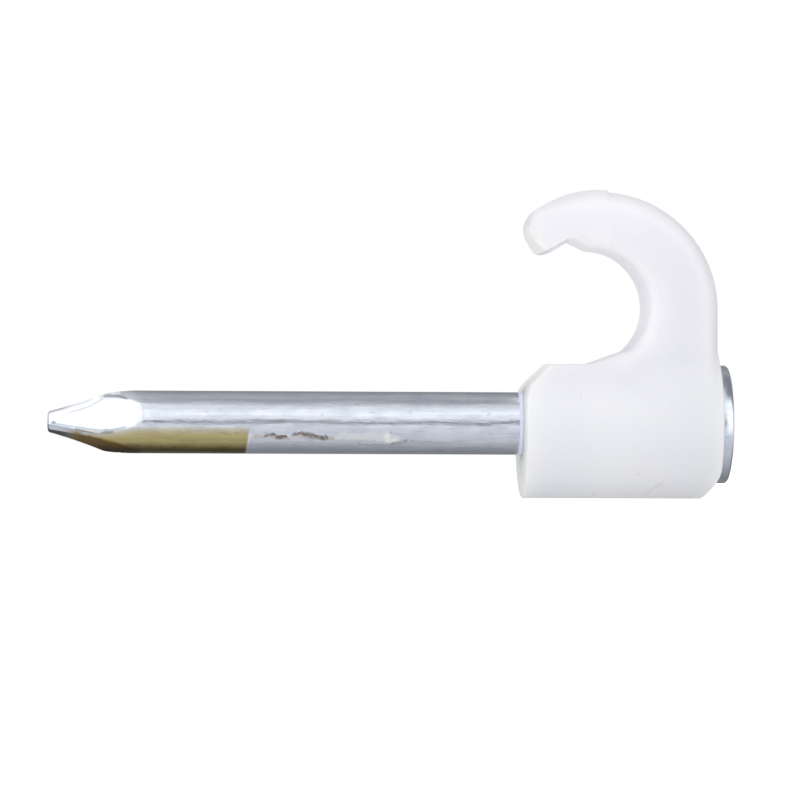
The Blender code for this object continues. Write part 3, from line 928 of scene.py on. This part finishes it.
# %% [markdown]
# ## The plated nail
# Wire is drawn through a die, which leaves fine lines along it, and the zinc on top keeps them.
# So the lines are noise drawn out twenty-five times along X, and clouds, dents, waves and specks
# are drawn out two to three times. They move the colour, the roughness and the height together.
# The dies pressed the point's flats bright, so the clouds and dents stop where the flats begin.

# %% Drawn and plated wire
HEAD_START = 7.15
POINT_FADE = (-14.6, -13.8)


def drawn(tree, place, squeeze, scale, detail, low, high):
    """Blotches drawn out along X, because X is squeezed to a share of itself before the noise."""
    return use_group(
        tree, blotches, Place=stretched(tree, place, (squeeze, 1.0, 1.0)), Scale=scale,
        Detail=detail, Low=low, High=high,
    )


zinc, tree, shader, place = new_material("zinc_plated_drawn")
exact = add_node(tree, "ShaderNodeSeparateXYZ", None, Vector=place).outputs
on_shank = step_mm(tree, exact["X"], HEAD_START + 0.05, HEAD_START)
on_wire = step_mm(tree, exact["X"], *POINT_FADE)
lines = all_of(tree, drawn(tree, place, 0.04, 9000.0, 3.0, 0.3, 0.7), on_shank)
cloud = drawn(tree, place, 0.45, 2600.0, 4.0, 0.35, 0.7)
specks = drawn(tree, place, 0.35, 8000.0, 2.0, 0.62, 0.74)
colour = mix_colour(tree, lines, (0.63, 0.675, 0.755, 1), (0.71, 0.757, 0.83, 1))
colour = painted(tree, colour, all_of(tree, cloud, on_wire), 0.45, (0.48, 0.52, 0.61, 1))
colour = painted(tree, colour, all_of(tree, specks, on_wire), 0.35, (0.36, 0.38, 0.45, 1))
print("the bare plating takes", len(tree.nodes), "nodes")

# %% [markdown]
# ## A yellow tint near the point
# Towards the point the lower side of the shank is tinted yellow, with a sharp end, and darkened
# nearly to black underneath. A patch of yellow would look like paint. So the tints multiply the
# colour of the metal, which keeps its reflections, and they fade in by depth below a top edge:
# 1 - (1 - depth)^2 rises quickly and then evens out.

# %% Yellow tint
YELLOW_END = -9.99
YELLOW_LEAN = 0.15
YELLOW_FADE = 0.42

worn_place = wobbled(tree, place, 3500.0, 0.12)
worn = add_node(tree, "ShaderNodeSeparateXYZ", None, Vector=worn_place).outputs
top_edge = add_node(
    tree, "ShaderNodeMapRange", None, Value=worn["X"], From_Min=-16.0 * MM, From_Max=-14.0 * MM,
    To_Min=-0.40 * MM, To_Max=-0.12 * MM,
).outputs["Result"]
depth = maths(tree, "SUBTRACT", top_edge, worn["Z"])
depth = maths(tree, "DIVIDE", depth, YELLOW_FADE * MM, clamp=True)
remaining = maths(tree, "SUBTRACT", 1.0, depth)
low_side = maths(tree, "SUBTRACT", 1.0, all_of(tree, remaining, remaining))
lean = maths(tree, "MULTIPLY", exact["Z"], YELLOW_LEAN)
along_shank = maths(tree, "SUBTRACT", exact["X"], lean)
before_end = step_mm(tree, along_shank, YELLOW_END + 0.05, YELLOW_END - 0.05)
yellow = all_of(tree, low_side, before_end)
colour = painted(tree, colour, yellow, 1.0, (0.74, 0.60, 0.26, 1), "MULTIPLY")
underside = all_of(tree, step_mm(tree, worn["Z"], -0.72, -1.05), before_end)
colour = painted(tree, colour, underside, 1.0, (0.24, 0.20, 0.08, 1), "MULTIPLY")
print("yellow up to x =", YELLOW_END, "mm")

# %% [markdown]
# ## The soiled flat, and a pale line
# The lower flat of the point has kept a brown film, up to a straight edge that falls towards the
# shank. Where the yellow ends, a thin pale line runs along its end. Both could be strokes, but
# the film is a whole area. So it is a half plane below a sloping line, cut off along X by two
# soft steps, and the pale line is a narrow band about the yellow's end.

# %% Film and line
SOIL_SLOPE = 0.268
SOIL_START = -16.5
SOIL_DROP = 0.30

from_start = maths(tree, "SUBTRACT", worn["X"], SOIL_START * MM)
soil_edge = maths(tree, "MULTIPLY", from_start, -SOIL_SLOPE)
soil_edge = maths(tree, "SUBTRACT", soil_edge, SOIL_DROP * MM)
above_edge = maths(tree, "SUBTRACT", worn["Z"], soil_edge)
soil = all_of(tree, step_mm(tree, above_edge, 0.06, -0.06),
              step_mm(tree, worn["X"], -16.95, -16.2), step_mm(tree, worn["X"], -13.3, -13.8))
colour = painted(tree, colour, soil, 1.0, (0.42, 0.30, 0.13, 1), "MULTIPLY")

edge_gap = maths(tree, "SUBTRACT", along_shank, (YELLOW_END + 0.06) * MM)
edge_gap = maths(tree, "ABSOLUTE", edge_gap)
edge_line = all_of(tree, step_mm(tree, edge_gap, 0.06, 0.02),
                   step_mm(tree, worn["Z"], -0.30, -0.45), step_mm(tree, worn["Z"], -0.85, -0.70))
colour = painted(tree, colour, edge_line, 0.6, (0.90, 0.88, 0.80, 1))
print("film below a slope of", SOIL_SLOPE)

# %% [markdown]
# ## A dried smear and a rusty scratch
# Further along lie a scratch that has rusted and a dried smear with a thick crusted end. They are
# built from strokes as the plastic's scratches are, in pale and dark layers. Two wobbles, a slow
# and a fine one, fray their edges, and a blotch breaks them up, because rust never covers evenly.

# %% Smear and rust
SMEAR = [
    ((-6.80, -0.52), (-5.65, -0.50), 0.07), ((-5.60, -0.51), (-5.10, -0.52), 0.09),
    ((-5.02, -0.52), (-4.70, -0.62), 0.14),
]
CRUST = [((-5.00, -0.44), (-4.98, -0.66), 0.05), ((-4.80, -0.62), (-4.66, -0.60), 0.03)]
SMEAR_RIM = [
    ((-6.02, -0.76), (-5.45, -0.79), 0.016), ((-5.45, -0.79), (-5.05, -0.83), 0.010),
    ((-5.00, -0.84), (-4.77, -0.80), 0.012), ((-4.77, -0.77), (-4.30, -0.64), 0.025),
    ((-4.86, -0.33), (-4.84, -0.31), 0.012),
]
RUST_PALE = [
    ((-9.78, -0.53), (-9.20, -0.50), 0.030), ((-9.10, -0.53), (-8.62, -0.54), 0.050),
    ((-8.45, -0.47), (-7.85, -0.52), 0.028), ((-7.75, -0.59), (-7.00, -0.57), 0.028),
]
RUST_DARK = [
    ((-9.42, -0.46), (-9.14, -0.43), 0.020), ((-9.04, -0.50), (-8.68, -0.49), 0.016),
    ((-9.00, -0.56), (-8.80, -0.55), 0.028), ((-8.45, -0.43), (-8.10, -0.39), 0.026),
    ((-8.10, -0.39), (-7.80, -0.46), 0.036), ((-7.80, -0.47), (-7.34, -0.56), 0.048),
    ((-7.24, -0.44), (-7.20, -0.54), 0.014),
]

stain_place = wobbled(tree, wobbled(tree, place, 3200.0, 0.18), 9000.0, 0.1)
stain_place = side_view(tree, stain_place)
front = front_side(tree, place)
patches = use_group(tree, blotches, Place=place, Scale=4200.0, Detail=4.0, Low=0.30, High=0.60)
patches = all_of(tree, sum_of(tree, maths(tree, "MULTIPLY", patches, 0.5), 0.5), front)
smear, crust, smear_rim, rust_pale, rust_dark = (
    all_of(tree, marks(tree, stain_place, strokes, softness), patches)
    for strokes, softness in (
        (SMEAR, 0.09), (CRUST, 0.06), (SMEAR_RIM, 0.05), (RUST_PALE, 0.06), (RUST_DARK, 0.06),
    )
)
STAINS = [
    (smear, 0.80, (0.64, 0.65, 0.66, 1)),
    (crust, 0.80, (0.78, 0.81, 0.79, 1)),
    (smear_rim, 0.75, (0.20, 0.21, 0.22, 1)),
    (rust_pale, 0.66, (0.38, 0.30, 0.24, 1)),
    (rust_dark, 0.95, (0.14, 0.11, 0.105, 1)),
]
for mask, strength, tint in STAINS:
    colour = painted(tree, colour, mask, strength, tint)
print(len(STAINS), "stains on the shank")

# %% [markdown]
# ## Painted highlights and shade on the edges of the point's flats
# The edges between the flats and the point's outline carry thin dark lines of painted shade, and
# white glints of painted highlight. A grey band on the lower corner flat is painted shade too.
# Some tools find edges by themselves, but these lines are uneven and follow single edges. So the
# edges are drawn as paths in the side view, a pale glint first and the dark lines over it.

# %% Painted highlights and shade along the edges
# the dark paths and the band are painted shade, and the glints are painted highlights
OUTLINE_PAINTED_SHADE = [
    (-17.36, -0.05), (-17.36, 0.26), (-17.30, 0.35), (-16.82, 0.48), (-16.44, 0.66),
    (-15.96, 0.84), (-15.49, 0.99), (-15.10, 1.10),
]
UPPER_EDGE_PAINTED_SHADE = [(-16.58, 0.34), (-16.23, 0.43), (-15.84, 0.56), (-15.54, 0.74), (-15.28, 0.88)]
CROWN_EDGE_PAINTED_SHADE = [(-15.31, 0.95), (-14.77, 0.94), (-14.50, 0.86)]
LOWER_EDGE_PAINTED_SHADE = [(-17.24, -0.06), (-16.33, -0.19), (-15.54, -0.30), (-14.94, -0.28), (-14.54, -0.18)]
RIGHT_EDGE_PAINTED_SHADE = [(-13.97, 0.60), (-13.87, 0.37), (-13.89, 0.18), (-14.10, -0.04)]
BAND_PAINTED_SHADE = [(-16.30, -0.28), (-15.54, -0.39), (-15.00, -0.37)]
PAINTED_HIGHLIGHTS = [
    ((-16.50, 0.46), (-15.89, 0.65), 0.03), ((-15.89, 0.65), (-15.56, 0.86), 0.04),
    ((-15.04, 1.05), (-14.77, 1.06), 0.03),
]
SPOTS = [((-17.16, -0.02), (-17.12, -0.03), 0.03)]


def path_strokes(path, width):
    """The strokes that join the points of a path, with one half width."""
    return [(start, end, width) for start, end in zip(path, path[1:])]


edge_place = side_view(tree, wobbled(tree, place, 5000.0, 0.05))
# painted highlights first, then painted shade lines, a small dark spot and a band of painted shade
PAINTED_EDGE_LIGHT_SHADE_AND_SPOTS = [
    (PAINTED_HIGHLIGHTS, 0.04, 0.90, (1.0, 1.0, 1.0, 1)),
    (path_strokes(OUTLINE_PAINTED_SHADE, 0.008), 0.04, 0.75, (0.28, 0.26, 0.25, 1)),
    (path_strokes(UPPER_EDGE_PAINTED_SHADE, 0.006), 0.04, 0.55, (0.24, 0.23, 0.23, 1)),
    (path_strokes(CROWN_EDGE_PAINTED_SHADE, 0.020), 0.05, 0.55, (0.22, 0.21, 0.20, 1)),
    (path_strokes(LOWER_EDGE_PAINTED_SHADE, 0.012), 0.05, 0.65, (0.22, 0.25, 0.31, 1)),
    (path_strokes(RIGHT_EDGE_PAINTED_SHADE, 0.010), 0.10, 0.30, (0.30, 0.28, 0.33, 1)),
    (SPOTS, 0.04, 0.70, (0.12, 0.13, 0.16, 1)),
    (path_strokes(BAND_PAINTED_SHADE, 0.035), 0.04, 0.85, (0.36, 0.35, 0.33, 1)),
]
for strokes, softness, strength, tint in PAINTED_EDGE_LIGHT_SHADE_AND_SPOTS:
    mask = all_of(tree, marks(tree, edge_place, strokes, softness), front)
    colour = painted(tree, colour, mask, strength, tint)
print(len(PAINTED_EDGE_LIGHT_SHADE_AND_SPOTS), "kinds of wear on the point")

# %% [markdown]
# ## Where the surface is no longer bare metal
# Rust, the smear and the film lie on the metal and don't shine as it does. And where the shank
# enters the boss, a pale band of painted light is laid on it, which lifts the shade at the bore.
# Metallic could stay at 1 everywhere, but then dirt would mirror the room. So it falls where one
# of them lies.

# %% Metallic
PAINTED_LIGHT_LIP_START = -0.16

# painted light: a pale band on the shank where it enters the boss, over the shade at the bore
painted_light_lip = all_of(tree, step_mm(tree, exact["X"], PAINTED_LIGHT_LIP_START, PAINTED_LIGHT_LIP_START + 0.04),
             step_mm(tree, exact["X"], 6.0, 5.0))
colour = painted(tree, colour, painted_light_lip, 1.0, (0.74, 0.78, 0.88, 1))
tree.links.new(colour, shader.inputs["Base Color"])
dry = smear
for other in (smear_rim, rust_dark, rust_pale):
    dry = maths(tree, "MAXIMUM", dry, other)
dull = maths(tree, "MAXIMUM", maths(tree, "MULTIPLY", dry, 0.85),
             maths(tree, "MULTIPLY", soil, 0.6))
metal = maths(tree, "SUBTRACT", 1.0, maths(tree, "MAXIMUM", dull, painted_light_lip))
tree.links.new(metal, shader.inputs["Metallic"])
print("the lip starts at x =", PAINTED_LIGHT_LIP_START, "mm")

# %% [markdown]
# ## Roughness and relief of the plating
# The clouds are a trace rougher than the metal between them, and dirt is rougher still. For the
# relief, dents and slow waves make the mirrored stripes waver, and the drawn lines add a fine
# ripple. All of it is some thousandths of a millimetre, so the Bump node does it.

# %% Roughness and bump
rough = ramp_between(tree, cloud, 0.0, 1.0, 0.17, 0.25)
rough = sum_of(tree, rough, maths(tree, "MULTIPLY", dry, 0.35))
tree.links.new(rough, shader.inputs["Roughness"])
dents = drawn(tree, place, 0.30, 2200.0, 3.0, 0.25, 0.75)
waves = drawn(tree, place, 0.35, 700.0, 1.0, 0.2, 0.8)
height = sum_of(tree, *(
    maths(tree, "MULTIPLY", pattern, depth)
    for pattern, depth in ((dents, 2.2), (lines, 0.2), (waves, 4.0))
))
height = all_of(tree, height, on_shank, on_wire)
height = sum_of(tree, height, maths(tree, "MULTIPLY", dry, 0.6))
bump = add_node(tree, "ShaderNodeBump", None, Strength=1.0, Distance=BUMP_DEPTH, Height=height)
tree.links.new(bump.outputs["Normal"], shader.inputs["Normal"])
nail.data.materials.clear()
nail.data.materials.append(zinc)
print(zinc.name, "has", len(tree.nodes), "nodes")

# %% [markdown]
# ## Riding on the frame
# Each new piece stands for one CAD node, which is then hidden but kept for collision. The clip
# has no moving parts, so both pieces ride on the one body, root.

# %% Replace the CAD nodes
for piece, node, slot in (
    (clip, "clip_body", "white_plastic"),
    (nail, "nail", "zinc_plated_steel"),
):
    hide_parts(node)
    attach(piece, "root")
    print(piece.name, "stands for", node)

# %% [markdown]
# ## The studio
# The clip is shown over a plain pale floor. It isn't made to stand on it, so the floor lies a
# little below, and only a faint soft shadow reaches it. The world is white where the camera,
# a reflection or a refraction looks at it, and lights the object at a plain level elsewhere.

# %% Floor and world
FLOOR_HEIGHT = -25.0
FLOOR_SIZE = 3000.0


def seen_directly(tree):
    """1 for rays from the camera, a glossy surface or a see-through one, and 0 for the rest."""
    path = tree.nodes.new("ShaderNodeLightPath").outputs
    seen = maths(tree, "MAXIMUM", path["Is Camera Ray"], path["Is Glossy Ray"])
    return maths(tree, "MAXIMUM", seen, path["Is Transmission Ray"])


corners = np.array([(-1, -1), (1, -1), (1, 1), (-1, 1)]) * FLOOR_SIZE / 2
floor_mesh = bpy.data.meshes.new("floor")
floor_points = np.column_stack([corners, np.full(4, FLOOR_HEIGHT)]) * MM
floor_mesh.from_pydata(floor_points.tolist(), [], [(0, 1, 2, 3)])
floor = bpy.data.objects.new("floor", floor_mesh)
bpy.context.scene.collection.objects.link(floor)
floor_look, tree, shader, place = new_material("pale_floor")
shader.inputs["Base Color"].default_value = (0.75, 0.75, 0.75, 1)
shader.inputs["Roughness"].default_value = 1.0
shader.inputs["Specular IOR Level"].default_value = 0.0
shader.inputs["Emission Color"].default_value = (1, 1, 1, 1)
lift = maths(tree, "MULTIPLY", seen_directly(tree), 0.5)
tree.links.new(lift, shader.inputs["Emission Strength"])
floor_mesh.materials.append(floor_look)

world = bpy.data.worlds.new("studio_world")
bpy.context.scene.world = world
world.use_nodes = True
tree = world.node_tree
WORLD_LIGHT = 1.0
strength = maths(tree, "MULTIPLY", seen_directly(tree), 1 - WORLD_LIGHT)
strength = maths(tree, "ADD", strength, WORLD_LIGHT)
background = tree.nodes["Background"]
background.inputs["Color"].default_value = (1, 1, 1, 1)
tree.links.new(strength, background.inputs["Strength"])
print("floor at", FLOOR_HEIGHT, "mm, world light", WORLD_LIGHT)

# %% [markdown]
# ## What the metal mirrors
# A polished cylinder shows its surroundings squeezed into stripes. Photographers put such
# things in a light tent, whose walls are brighter in some directions than in others. Lamps and
# cards could be placed one by one, but a tube of cloth that only reflections can see is easier to
# tune. Its brightness is a function of the angle round the X axis: bright in front and above,
# dimmer below and behind, with a thin dark line where the camera looks in. 0 degrees is in front
# and 90 is above.

# %% Tube of the light tent
TENT_RADIUS = 22.0
TENT_HALF_LENGTH = 60.0
TENT_SIDES = 96

ends = [ring(x, TENT_RADIUS, TENT_SIDES) for x in (-TENT_HALF_LENGTH, TENT_HALF_LENGTH)]
k = np.arange(TENT_SIDES)
after = (k + 1) % TENT_SIDES
quads = np.stack([k, after, after + TENT_SIDES, k + TENT_SIDES], axis=1)
tent_mesh = bpy.data.meshes.new("light_tent")
tent_mesh.from_pydata((np.vstack(ends) * MM).tolist(), [], quads.tolist())
tent_mesh.shade_smooth()
tent = bpy.data.objects.new("light_tent", tent_mesh)
bpy.context.scene.collection.objects.link(tent)
tent.visible_camera = False
tent.visible_diffuse = False
tent.visible_shadow = False
tent.visible_volume_scatter = False
print("tent of", len(quads), "strips")

# %% Stripes of the tent
TENT_PEAK = 1.4
TENT_BLUE = 1.01
TENT_STOPS = [
    (-180, 0.25), (-123, 0.30), (-97, 0.44), (-67, 0.70), (-27, 0.89), (-11, 1.00),
    (-4, 0.85), (-1, 0.22), (5, 0.22), (10, 0.98), (18, 1.08), (33, 1.38), (49, 1.12),
    (66, 0.90), (78, 0.54), (85, 0.47), (107, 0.55), (138, 0.36), (180, 0.25),
]

tent_look, tree, shader, place = new_material("tent_cloth")
parts = add_node(tree, "ShaderNodeSeparateXYZ", None, Vector=place).outputs
angle = maths(tree, "ARCTAN2", parts["Z"], maths(tree, "MULTIPLY", parts["Y"], -1.0))
turn = maths(tree, "ADD", maths(tree, "DIVIDE", angle, 2 * math.pi), 0.5)
stripes = add_node(tree, "ShaderNodeValToRGB", None, Fac=turn)
stops = stripes.color_ramp.elements
while len(stops) < len(TENT_STOPS):
    stops.new(0.5)
for stop, (degrees, value) in zip(stops, TENT_STOPS):
    stop.position = degrees / 360 + 0.5
for stop, (degrees, value) in zip(stops, TENT_STOPS):
    share = value / TENT_PEAK
    stop.color = (share, share, share * TENT_BLUE, 1)
print("tent stops:", [(round(s.position, 3), round(s.color[0], 2)) for s in stops])

# %% [markdown]
# ## The two ends of the tent
# The flats of the point and the rim of the head face other parts of the room than the shank. The
# flats mirror a bright wall above and a dark one below, and the rim a bright spot in front with
# darkness over it. Here and there, too, something closes the dark line of the camera. Each is a
# patch of the tent, bounded by its angle and its place along X.


# %% Patches of the tent
def by_angle(tree, low, high, *outputs):
    """A smooth step from 0 to 1, or between two outputs, from a low to a high angle in degrees."""
    return ramp_between(tree, angle, math.radians(low), math.radians(high), *outputs)


def grey(value):
    """A grey colour of one value."""
    return (value, value, value, 1)


left_end = step_mm(tree, parts["X"], -14.6, -16.2)
right_end = step_mm(tree, parts["X"], 8.5, 9.5)
cover = use_group(tree, blotches, Place=stretched(tree, place, (1.0, 0.0, 0.0)), Scale=420.0,
                  Detail=3.0, Low=0.50, High=0.62)
camera_line = all_of(tree, by_angle(tree, -6, -2), by_angle(tree, 12, 7))
light = painted(tree, stripes.outputs["Color"], all_of(tree, camera_line, cover), 0.8, grey(0.6))
PATCHES = [
    (left_end, by_angle(tree, -20, 10), by_angle(tree, 60, 110, 1.15, 0.80)),
    (left_end, by_angle(tree, -75, -100), grey(0.06)),
    (right_end, all_of(tree, by_angle(tree, -22, -8), by_angle(tree, 50, 32)), grey(1.2)),
    (right_end, all_of(tree, by_angle(tree, 42, 60), by_angle(tree, 120, 95)), grey(0.22)),
]
for end, span, value in PATCHES:
    light = mix_colour(tree, all_of(tree, end, span), light, value)
emission = add_node(tree, "ShaderNodeEmission", None, Color=light, Strength=TENT_PEAK)
tree.links.new(emission.outputs["Emission"], tree.nodes["Material Output"].inputs["Surface"])
tent_mesh.materials.append(tent_look)
print(tent_look.name, "has", len(PATCHES), "patches")

# %% [markdown]
# ## Lamps
# The world alone lights the plastic evenly and hides its form. One large soft key lamp, in
# front, to the left and slightly above, adds the gentle fall of light round the barrel. The
# inside of the crown glows with light that has passed through thin plastic. Following all of
# that light is slow, so a tiny lamp in the channel stands for it. Reflections come from the
# tent, so both lamps are kept out of them.


# %% Soft lamps
def aim(place, target):
    """A turn that points an object's -Z axis from place to target."""
    return (Vector(target) - Vector(place)).to_track_quat("-Z", "Y").to_matrix().to_4x4()


def soft_lamp(name, place, target, size, power):
    """A square area lamp at a place, aimed at a target, in millimetres and watts."""
    data = bpy.data.lights.new(name, "AREA")
    data.shape = "SQUARE"
    data.size = size * MM
    data.energy = power
    lamp = bpy.data.objects.new(name, data)
    bpy.context.scene.collection.objects.link(lamp)
    lamp.matrix_world = Matrix.Translation([v * MM for v in place]) @ aim(place, target)
    lamp.visible_camera = False
    lamp.visible_glossy = False
    return lamp


key_lamp = soft_lamp("key_lamp", (-70.0, -110.0, 20.0), (0, 0, 2), 80.0, 0.021)
channel_lamp = soft_lamp(
    "channel_lamp", (CABLE_CENTRE[0] - 1.5, 0.0, SADDLE_HEIGHT + 0.9),
    (CABLE_CENTRE[0] - 1.0, 0.0, CROWN_TOP), 2.5, 2.1e-5,
)
for lamp in (key_lamp, channel_lamp):
    print(lamp.name, "gives", lamp.data.energy, "W")

# %% [markdown]
# ## The camera
# The photograph is taken from about 135 mm away and level with the boss, turned by 3.2 degrees
# so that a little of the nose face shows. The camera is rolled by a quarter of a degree. The
# lens follows from the distance: the frame is 800 pixels wide and one pixel covers 0.0368 mm at
# the nail's axis.

# %% Camera
PIXEL = 0.03678
FRAME_PIXELS = 800
SENSOR_WIDTH = 36.0
CAMERA_TURN = math.radians(3.2)
CAMERA_ROLL = math.radians(0.27)
CAMERA_DISTANCE = 3660 * PIXEL
CAMERA_TARGET = np.array([-121.7, 0.0, 23.0]) * PIXEL

ahead = np.array([math.sin(CAMERA_TURN), math.cos(CAMERA_TURN), 0.0])
level = np.array([math.cos(CAMERA_TURN), -math.sin(CAMERA_TURN), 0.0])
upright = np.array([0.0, 0.0, 1.0])
right = level * math.cos(CAMERA_ROLL) + upright * math.sin(CAMERA_ROLL)
up = upright * math.cos(CAMERA_ROLL) - level * math.sin(CAMERA_ROLL)
camera_data = bpy.data.cameras.new("camera")
camera_data.sensor_width = SENSOR_WIDTH
camera_data.lens = SENSOR_WIDTH * CAMERA_DISTANCE / (FRAME_PIXELS * PIXEL)
camera_data.clip_start = 0.01
camera_data.clip_end = 10.0
camera = bpy.data.objects.new("camera", camera_data)
bpy.context.scene.collection.objects.link(camera)
turned = Matrix(np.column_stack([right, up, -ahead]).tolist()).to_4x4()
camera_place = (CAMERA_TARGET - ahead * CAMERA_DISTANCE) * MM
camera.matrix_world = Matrix.Translation(camera_place.tolist()) @ turned
bpy.context.scene.camera = camera
bpy.context.scene.view_settings.view_transform = "Standard"
print("camera at", (camera_place / MM).round(1), "mm, lens", round(camera_data.lens, 1), "mm")
